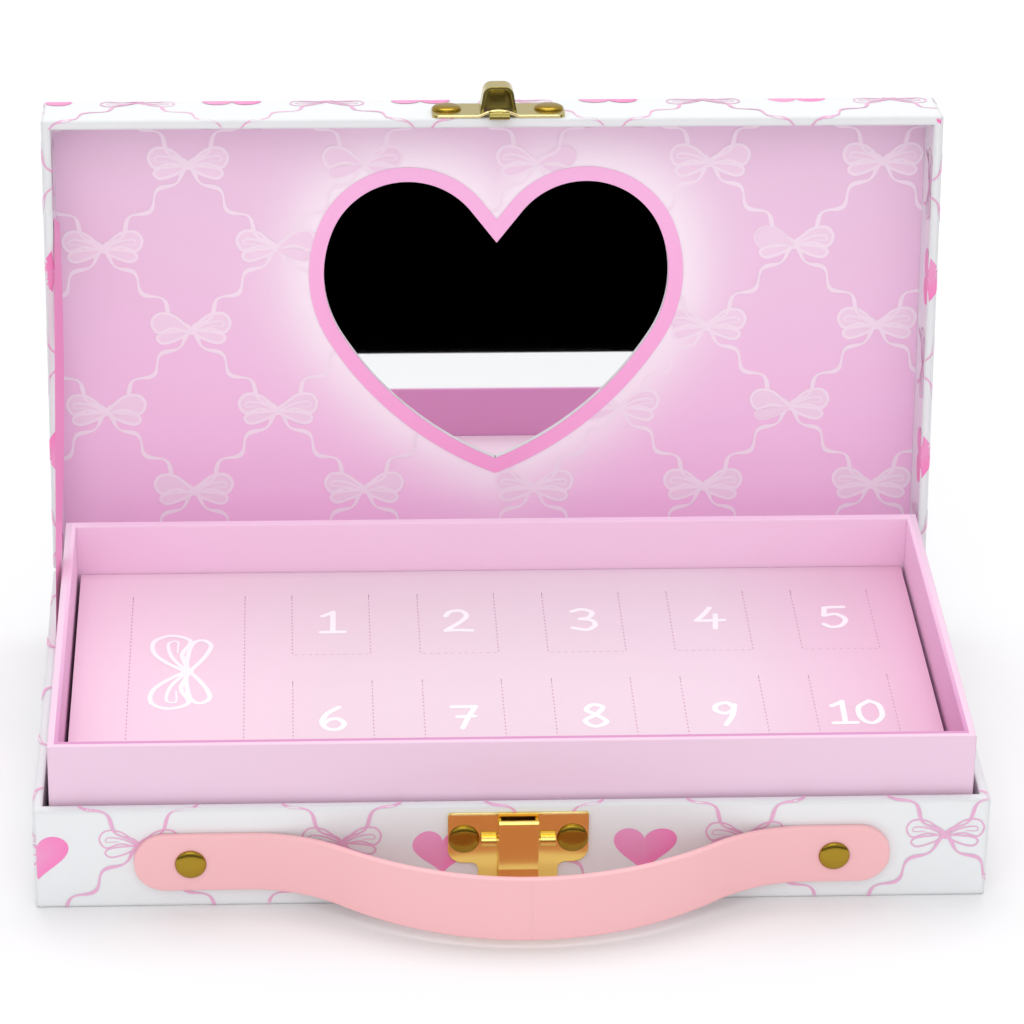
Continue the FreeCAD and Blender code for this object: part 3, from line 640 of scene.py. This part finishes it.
def heart_line(grow):
    """Points round the heart, grow outside its edge: on each half a straight flank, three arcs."""
    def towards(a):
        """Unit directions at angles."""
        return np.column_stack([np.cos(a), np.sin(a)])

    lobe = np.array([lobes_apart / 2, lobe_reach])
    flank = lobe - towards(np.array([flank_turn]))[0] * (flank_radius - lobe_radius)
    side = flank - towards(np.array([side_turn]))[0] * (side_radius - flank_radius)
    to_lobe = lobe - (0, lobe_reach + notch_rise)
    slope = math.atan2(to_lobe[1], to_lobe[0]) + math.asin(lobe_radius / np.hypot(*to_lobe))
    notch = np.array([0, lobe_reach + notch_rise + grow / math.cos(slope)])
    tip = -math.acos(-side[0] / (side_radius + grow))
    parts = []
    for centre, radius, a0, a1, count in (
            (lobe, lobe_radius, slope + math.pi / 2, flank_turn, lobe_points),
            (flank, flank_radius, flank_turn, side_turn, flank_points),
            (side, side_radius, side_turn, tip, side_points)):
        parts.append(centre + towards(np.linspace(a0, a1, count)) * (radius + grow))
    flank_run = notch + np.linspace(0, 1, notch_points)[:-1, None] * (parts[0][0] - notch)
    right = np.vstack([flank_run, parts[0], parts[1][1:], parts[2][1:]])
    left = (right * (-1, 1))[-2:0:-1]
    return np.vstack([right, left]) + (heart_x, 0)


def on_lining(flat, lift):
    """Points across the lid and away from the hinge, to space, just in front of the lining."""
    return opened(np.column_stack([flat[:, 0], half_depth - flat[:, 1],
                                   np.full(len(flat), lining_z) - lift]))


def lining_colours(flat, rim):
    """The card's colour: pink, deeper towards the hinge as painted light, under a white glow round
    the heart.
    """
    t = np.clip((flat[:, 1] - fade_start) / fade_run, 0, 1)[:, None]
    near, far, white = (np.array(linear(*colour)[:3])
                        for colour in ((252, 198, 237), (239, 206, 231), (255, 243, 252)))
    away = np.sqrt(((flat[:, None, :] - rim[None, ::2]) ** 2).sum(axis=2)).min(axis=1)[:, None]
    faded = np.clip(away - glow_start, 0, None) / glow_reach
    glow = glow_share * np.exp(-faded ** glow_power)
    colour = (near * (1 - t) + far * t) * (1 - glow) + white * glow
    return np.column_stack([colour, np.ones(len(flat))])


def inside(outline, points):
    """Which points lie in a closed outline, by counting the edges to their right."""
    a, b = outline, np.roll(outline, -1, axis=0)
    y, x = points[:, 1][:, None], points[:, 0][:, None]
    crosses = (a[:, 1] > y) != (b[:, 1] > y)
    rise = np.where(a[:, 1] == b[:, 1], 1e-9, b[:, 1] - a[:, 1])
    at = a[:, 0] + (y - a[:, 1]) * (b[:, 0] - a[:, 0]) / rise
    return (crosses & (at > x)).sum(axis=1) % 2 == 1


rim = heart_line(0)
low = np.array([-lining_half_width - lining_lap, half_depth - lining_half_depth])
high = np.array([lining_half_width + lining_lap, half_depth + lining_half_depth + lining_lap])
centre = np.array([heart_x, lining_middle])
ray = rim - centre
ray = np.where(abs(ray) < 1e-6, 1e-6, ray)
reach = (np.where(ray > 0, high - centre, low - centre) / ray).min(axis=1)
edge = centre + ray * reach[:, None]
for x in (low[0], high[0]):
    for y in (low[1], high[1]):
        edge[np.hypot(*(edge - (x, y)).T).argmin()] = (x, y)
shares = np.linspace(0, 1, lining_rows) ** lining_spread
flat = np.vstack([rim + (edge - rim) * share for share in shares])
# The lining's colour carries the trellis print and painted light: its pink deepens towards the
# hinge.
lining_ink = coat("lining_ink", linear(236, 190, 222), 0.5, gloss=0.1)
tint(lining_ink, carried(lining_ink.node_tree, "ink", "Color"))
lining_face = piece("lining_face", on_lining(flat, face_lift),
                    band(lining_rows, len(rim), closed=True), lining_ink,
                    lining_colours(flat, rim), smooth=False)
dress(lining_ink, "lid_lining")
lattice = [[(lattice_x + lattice_step * (i + (1 - row % 2) / 2), lattice_y - lattice_drop * row)
            for i in range(lattice_count)] for row in range(lattice_rows)]
bow_ink = Print()
draw_trellis(bow_ink, lattice, lattice_drop, wave=1.5, line=0.95, bow_size=1.0, bow_line=0.8,
             tone=1.0, fill_tone=0.3)
bow_ink.trim(low, high)
bow_ink.keep(lambda p: ~inside(heart_line(trellis_clear), p))
trellis_ink = ink_coat("trellis_ink", linear(245, 212, 236), linear(250, 231, 245), 0.5)
lining_print = stamped("lining_print", trellis_ink, (bow_ink, on_lining))
border_ink = ink_coat("border_ink", linear(255, 170, 222), linear(255, 190, 234), 0.45)
flat = np.vstack([rim, heart_line(border_wide)])
reach = (flat[:, 1].min(), flat[:, 1].max())
heart_border = piece("heart_border", on_lining(flat, border_lift), band(2, len(rim), closed=True),
                     border_ink, np.interp(flat[:, 1], reach, (0, 1)), smooth=False)
bare_edge = coat("bare_edge", linear(250, 246, 250), 0.7)
cut = heart_line(-cut_in)
depths = np.repeat((border_lift, lining_z - mirror_z), len(cut))
heart_edge = piece("heart_edge", on_lining(np.vstack([cut, cut]), depths),
                   band(2, len(cut), closed=True), bare_edge)
for part in (lining_face, lining_print, heart_border, heart_edge):
    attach(part, "lid")


# Mirror: a thin silvered sheet behind the heart, glued to the lid's inside.
# A card spacer as thick as the sheet lies round it, so that the lining sits flat on both.
silver = coat("silver", linear(246, 247, 248), 0.012, metal=1.0)
dress(silver, "heart_mirror")
dress(white_card, "mirror_spacer")


# Hinge: one strip of white paper, glued across the back of the base and of the lid.
# It folds in the gap between the two rims, where it stands a little off both.
hinge_y, hinge_half_thick, hinge_half_long = 64.65, 0.14, 120.5
base_run = np.array([(hinge_y, 16.8), (hinge_y, 22.0), (hinge_y, 27.8)])
turn_run = np.array([(64.9, 28.5), (65.3, 28.8)])
lid_run = opened(np.array([(0, hinge_y, 30.5), (0, hinge_y, 36.0), (0, hinge_y, 41.5)]))[:, 1:]
line = np.vstack([base_run, turn_run, lid_run])
along = np.gradient(line, axis=0)
along /= np.hypot(along[:, 0], along[:, 1])[:, None]
normal = np.column_stack([along[:, 1], -along[:, 0]]) * hinge_half_thick
loop = np.vstack([line + normal, (line - normal)[::-1]])
count = len(loop)
points = np.vstack([np.column_stack([np.full(count, x), loop])
                    for x in (-hinge_half_long, 0, hinge_half_long)])
ends = [tuple(range(count)), tuple(range(3 * count - 1, 2 * count - 1, -1))]
hinge = piece("hinge_strip", points, band(3, count, closed=True) + ends, white_paper,
              smooth=False)
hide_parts("hinge_leaf_base", "hinge_leaf_lid")
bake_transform(hinge)


# Stay ribbon: pink satin, 10 mm wide, glued inside the left walls of the base and the lid.
# It stops the lid just past upright, and turns its face a little to the front between its ends.
ribbon_x, ribbon_wide, ribbon_rows, ribbon_steps = -119.7, 10.0, 7, 61
ribbon_reach, ribbon_deep, satin_sheen = 99.0, 7.5, 0.3
least_twist, more_twist, twist_start = 0.11, 0.09, 0.25
ribbon_low = np.array([ribbon_x, 18.5, 22.0])
ribbon_high = opened(np.array([[ribbon_x, half_depth - ribbon_reach, hinge_z + ribbon_deep]]))[0]
t = np.linspace(0, 1, ribbon_steps)
lean = ribbon_high - ribbon_low
front = np.array([1, 0, 0])
side = np.cross(lean / np.linalg.norm(lean), front)
twist_share = np.clip((t - twist_start) / (1 - twist_start), 0, 1)
twist = least_twist + more_twist * np.sin(math.pi * twist_share)
across = np.linspace(0, ribbon_wide, ribbon_rows)[:, None]
sideways, inwards = np.cos(twist) * across - ribbon_wide / 2, np.sin(twist) * across
points = (ribbon_low + np.outer(t, lean) + sideways[:, :, None] * side
          + inwards[:, :, None] * front).reshape(-1, 3)
satin = coat("satin", linear(240, 112, 188), 0.35, gloss=0.1)
satin.node_tree.nodes["Principled BSDF"].inputs["Sheen Weight"].default_value = satin_sheen
ribbon = piece("satin_ribbon", points, band(ribbon_rows, ribbon_steps), satin)
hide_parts("stay_ribbon")
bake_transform(ribbon)


# Handle: a strap of salmon leather-cloth with round ends, riveted to the front wall and bowed
# out between. Each half is one piece that bends where the bow leaves the wall.
strap_end, bow_shift, bow_half, bow_out, bow_radius = 97.0, 3.9, 71.6, 19.6, 49.0
strap_half, strap_thick, strap_droop, strap_flare, handle_z = 8.1, 2.2, 3.0, 1.2, 14.0
strap_power, strap_points, bend_from, bend_to, bend_y = 0.22, 36, 0.0740, 0.0420, -0.0656
round_share, round_points, run_start, run_points = 0.18, 40, 0.1, 90
tip_thick, tip_run = 0.25, 3


def strap_out(x):
    """How far the strap's back is off the wall: an arc that leaves it, and one over the crown."""
    turn = 2 * math.atan2(bow_out, bow_half)
    crown = bow_half / math.sin(turn) - bow_radius
    away = np.abs(x - bow_shift)
    knee = bow_half - bow_radius * math.sin(turn)
    low_run, high_run = np.clip(bow_half - away, 0, bow_radius), np.clip(away, 0, crown)
    low_arc = bow_radius - np.sqrt(bow_radius ** 2 - low_run ** 2)
    high_arc = bow_out - crown + np.sqrt(crown ** 2 - high_run ** 2)
    return np.where(away < knee, high_arc, np.where(away < bow_half, low_arc, 0.0))


def strap_half_mesh(x0, x1):
    """A strap from x0 to x1: a rounded flat section along the bow, drawn in to a round end."""
    turn = np.linspace(0, math.pi, round_points)[:round_points // 2]
    shares = np.concatenate([(1 - np.cos(turn)) / 2 * round_share,
                             np.linspace(run_start, 1, run_points)[1:]])
    x = np.unique(np.round(x0 + (x1 - x0) * shares, 4))
    x = x if x1 > x0 else x[::-1]
    end_run = np.clip(strap_half - np.abs(x - x0), 0, strap_half)
    half = np.maximum(np.sqrt(strap_half ** 2 - end_run ** 2), hair)[:, None]
    out, slope = strap_out(x)[:, None], np.gradient(strap_out(x), x)[:, None]
    lean = np.sqrt(1 + slope ** 2)
    a = np.linspace(0, 2 * math.pi, strap_points, endpoint=False)
    across = np.sign(np.cos(a)) * np.abs(np.cos(a)) ** strap_power * half
    deep = np.sign(np.sin(a)) * np.abs(np.sin(a)) ** strap_power
    stand = out * (1 - strap_flare / bow_out * across / strap_half)
    thick = (deep + 1) / 2 * strap_thick * np.minimum(1.0, tip_thick + half / tip_run)
    points = np.stack([x[:, None] - thick * slope / lean,
                       -half_depth - stand - thick / lean,
                       handle_z + across - stand * strap_droop / bow_out], axis=-1)
    faces = band(len(x), strap_points, closed=True) + [tuple(range(strap_points))[::-1]]
    if x1 < x0:
        faces = [face[::-1] for face in faces]
    return points.reshape(-1, 3), faces


salmon = coat("salmon_strap", linear(243, 186, 190), 0.5, gloss=0.05, grain=0.12,
              grain_size=0.0006)
for side, name in ((-1, "strap_left"), (1, "strap_right")):
    points, faces = strap_half_mesh(side * strap_end, bow_shift)
    strap = piece(name, points, faces, salmon)
    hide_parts("handle_bow", "handle_tab_left" if side < 0 else "handle_tab_right")
    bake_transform(strap)


# Latch: a bright brass plate on two rivets, with a lever on a pin between two knuckles and a
# leaf spring. The strike on the lid is pressed from the same sheet, with an arched lip and a
# hood. The sheet's free edges are rolled smooth.
sheet, latch_x, latch_half, lip_half, lip_bulge = 0.8, 1.2, 18.0, 5.2, 1.5
spring_half_wide, spring_half_thick = 2.0, 0.14
roll_share, roll_points, lip_points, plate_points = 0.54, 12, 61, 9
strike_edge_z, strike_edge_in, latch_edge_z, latch_edge_in = 29.9, 1.3, 26.7, 0.8
brass = coat("brass", (1.0, 0.74, 0.20, 1.0), 0.14, metal=1.0, edge=0.0004)
# The strike's brass is a darker, partly diffuse copy of the plate's brass: painted shade.
strike_brass = coat("strike_brass", (0.55, 0.45, 0.13, 1.0), 0.2, metal=0.85, edge=0.0004)
# The rolled edges' brass is a lighter, partly diffuse copy of the plate's brass: a painted
# highlight along the edges.
edge_brass = coat("edge_brass", (1.0, 0.86, 0.42, 1.0), 0.16, metal=0.9)
steel = coat("spring_steel", (0.5, 0.5, 0.52, 1.0), 0.3, metal=1.0)
dress(brass, "latch_plate", "latch_lever", "latch_pin")
dress(strike_brass, "strike_plate")
spring_line = np.array([(0.95, 4.9), (0.95, 9.6), (2.55, 16.5)])
spring_side = np.array([spring_half_thick, 0])
loop = np.vstack([spring_line + spring_side, (spring_line - spring_side)[::-1]])
points = np.vstack([np.column_stack([np.full(6, x), -half_depth - loop[:, 0], loop[:, 1]])
                    for x in (latch_x - spring_half_wide, latch_x + spring_half_wide)])
ends = [(0, 1, 4, 5), (1, 2, 3, 4), (6, 11, 10, 7), (7, 10, 9, 8)]
spring = piece("leaf_spring", points, band(2, 6, closed=True) + ends, steel, smooth=False)
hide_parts("latch_spring")
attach(spring, "base")
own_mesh(spring)


def rolled_edge(x, out, z):
    """A round edge at one height: a circle a little wider than the sheet, carried along x."""
    path = np.column_stack([x + latch_x, -half_depth - sheet / 2 - out, np.full(len(x), z)])
    run = np.gradient(path, axis=0)
    across = np.column_stack([-run[:, 1], run[:, 0], np.zeros(len(path))])
    across /= np.linalg.norm(across, axis=1)[:, None]
    a = np.linspace(0, 2 * math.pi, roll_points, endpoint=False)[:, None]
    ring = roll_share * sheet * (across[:, None] * np.cos(a) + np.array((0, 0, 1)) * np.sin(a))
    last = roll_points * (len(path) - 1)
    ends = [tuple(range(roll_points))[::-1], tuple(range(last, last + roll_points))]
    return ((path[:, None] + ring).reshape(-1, 3),
            band(len(path), roll_points, closed=True) + ends)


x = np.linspace(strike_edge_in - latch_half, latch_half - strike_edge_in, lip_points)
lip_radius = (lip_half ** 2 + lip_bulge ** 2) / (2 * lip_bulge)
rise = np.sqrt(np.clip(lip_radius ** 2 - x ** 2, 0, None)) - lip_radius + lip_bulge
points, faces = rolled_edge(x, np.clip(rise, 0, None), strike_edge_z)
strike_edge = piece("strike_edge", opened(points), faces, edge_brass)
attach(strike_edge, "lid")
for side, start, end in (("left", latch_edge_in - latch_half, -lip_half),
                         ("right", lip_half, latch_half - latch_edge_in)):
    x = np.linspace(start, end, plate_points)
    points, faces = rolled_edge(x, np.zeros(plate_points), latch_edge_z)
    latch_edge = piece("latch_edge_" + side, points, faces, edge_brass)
    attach(latch_edge, "base")


# Rivets: domed heads of antique brass, through the strap, the latch plate and the strike.
# Each head is pressed, with a short upright edge and a round crown.
cap_radius, cap_height, cap_edge, cap_power = 4.0, 1.3, 0.25, 0.75
cap_rows, cap_points, cap_tip = 12, 48, 0.01
strap_rivet_x, latch_rivet_x, latch_rivet_z, strike_rivet_z = 82.5, 13.9, 19.6, 36.7
strap_front, sheet_front = -half_depth - strap_thick, -half_depth - sheet
old_brass = coat("old_brass", (0.40, 0.26, 0.03, 1.0), 0.24, metal=1.0, grain=0.05)


def cap_mesh(x, y, z):
    """A domed head standing out of the wall: an upright edge, then a quarter round, turned."""
    a = np.linspace(0, math.pi / 2, cap_rows)[1:]
    radius = np.concatenate([[cap_radius, cap_radius], cap_radius * np.cos(a) ** cap_power])
    height = np.concatenate([[0, cap_edge], cap_edge + (cap_height - cap_edge) * np.sin(a)])
    radius[-1] = cap_tip
    b = np.linspace(0, 2 * math.pi, cap_points, endpoint=False)
    points = np.stack([x + np.outer(radius, np.cos(b)),
                       y - np.outer(height, np.ones(cap_points)),
                       z + np.outer(radius, np.sin(b))], axis=-1)
    return points.reshape(-1, 3), band(len(radius), cap_points, closed=True)


latch_left, latch_right = latch_x - latch_rivet_x, latch_x + latch_rivet_x
for name, body, places in (
        ("base_rivets", "base", [(-strap_rivet_x, strap_front, handle_z),
                                 (strap_rivet_x, strap_front, handle_z),
                                 (latch_left, sheet_front, latch_rivet_z),
                                 (latch_right, sheet_front, latch_rivet_z)]),
        ("strike_rivets", "lid", [(latch_left, sheet_front, strike_rivet_z),
                                  (latch_right, sheet_front, strike_rivet_z)])):
    points, faces = [], []
    for place in places:
        cap, cap_faces = cap_mesh(*place)
        faces += [[len(points) * len(cap) + i for i in face] for face in cap_faces]
        points.append(opened(cap) if body == "lid" else cap)
    caps = piece(name + "_caps", np.vstack(points), faces, old_brass)
    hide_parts(name)
    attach(caps, body)


# Stage: a pale table that ends a little way in front of the box, under soft studio light.
# Beyond the table the room is dark, which is what the mirror shows above the table's edge.
table_half, table_front, table_back, table_z = 1500, -382, 2500, -0.02
sky, tent_light, behind_slope, behind_start = 0.92, 0.75, 1.7, 0.17
above_slope, above_start = 3.0, -0.3
table = piece("table", [(-table_half, table_front, table_z), (table_half, table_front, table_z),
                        (table_half, table_back, table_z), (-table_half, table_back, table_z)],
              [(0, 1, 2, 3)], coat("table", linear(238, 238, 239), 0.7), smooth=False)
world = bpy.data.worlds.new("studio")
bpy.context.scene.world = world
world.use_nodes = True
tree = world.node_tree
path = tree.nodes.new("ShaderNodeLightPath")
_, deep, up = place_axes(tree, "Generated")
behind = reckon(tree, "MULTIPLY_ADD", deep, behind_slope, behind_start)
above = reckon(tree, "MULTIPLY_ADD", up, above_slope, above_start)
tent = reckon(tree, "MAXIMUM", reckon(tree, "MAXIMUM", behind, above), 0.0)
tent = reckon(tree, "MULTIPLY", reckon(tree, "MINIMUM", tent, 1.0), tent_light)
glossy = path.outputs["Is Glossy Ray"]
plain = reckon(tree, "MULTIPLY", reckon(tree, "SUBTRACT", 1.0, glossy), sky)
lit = reckon(tree, "ADD", plain, reckon(tree, "MULTIPLY", glossy, tent))
background = tree.nodes["Background"].inputs
background["Color"].default_value = (1.0, 1.0, 1.0, 1.0)
feed(tree, background["Strength"], reckon(tree, "MAXIMUM", path.outputs["Is Camera Ray"], lit))


def standing(right, up, back, place):
    """The matrix of a thing at a place, from its right, its up and the way behind it."""
    return Matrix([(right[i], up[i], back[i], place[i]) for i in range(3)] + [(0, 0, 0, 1)])


def softbox(name, place, aim, width, height, power):
    """A rectangular soft light that faces a point."""
    light = bpy.data.lights.new(name, "AREA")
    light.shape = "RECTANGLE"
    light.size = width
    light.size_y = height
    light.energy = power
    lamp = bpy.data.objects.new(name, light)
    bpy.context.scene.collection.objects.link(lamp)
    back = np.array(place, float) - aim
    back /= np.linalg.norm(back)
    right = np.cross((0, 0, 1), back)
    right /= np.linalg.norm(right)
    lamp.matrix_world = standing(right, np.cross(back, right), back, place)


softbox("top_light", place=(0.0, 0.5, 1.35), aim=(0.0, 0.0, 0.0), width=1.0, height=0.7, power=5.5)
softbox("front_light", place=(-0.2, -1.1, 1.3), aim=(0.0, 0.0, 0.05), width=1.2, height=0.8,
        power=3.6)


# Camera: the photograph's view, from in front of the box and a little to its left.
# It is a long lens about a metre and a fifth away, tipped down and turned a trifle.
focal_px, picture_px, sensor, far_end = 4460.52, 1024, 36.0, 20.0
camera_place = (-0.05557, -1.0363, 0.62199)
pitch, yaw, roll = math.radians(27.591), math.radians(3.174), math.radians(-0.905)
ahead = np.array([math.sin(yaw) * math.cos(pitch), math.cos(yaw) * math.cos(pitch),
                  -math.sin(pitch)])
level = np.array([math.cos(yaw), -math.sin(yaw), 0.0])
down = np.cross(ahead, level)
right = math.cos(roll) * level + math.sin(roll) * down
down = -math.sin(roll) * level + math.cos(roll) * down
lens = bpy.data.cameras.new("camera")
lens.sensor_width = sensor
lens.lens = sensor * focal_px / picture_px
lens.clip_end = far_end
camera = bpy.data.objects.new("camera", lens)
camera.matrix_world = standing(right, -down, -ahead, camera_place)
bpy.context.scene.collection.objects.link(camera)
bpy.context.scene.camera = camera
bpy.context.scene.view_settings.view_transform = "Standard"
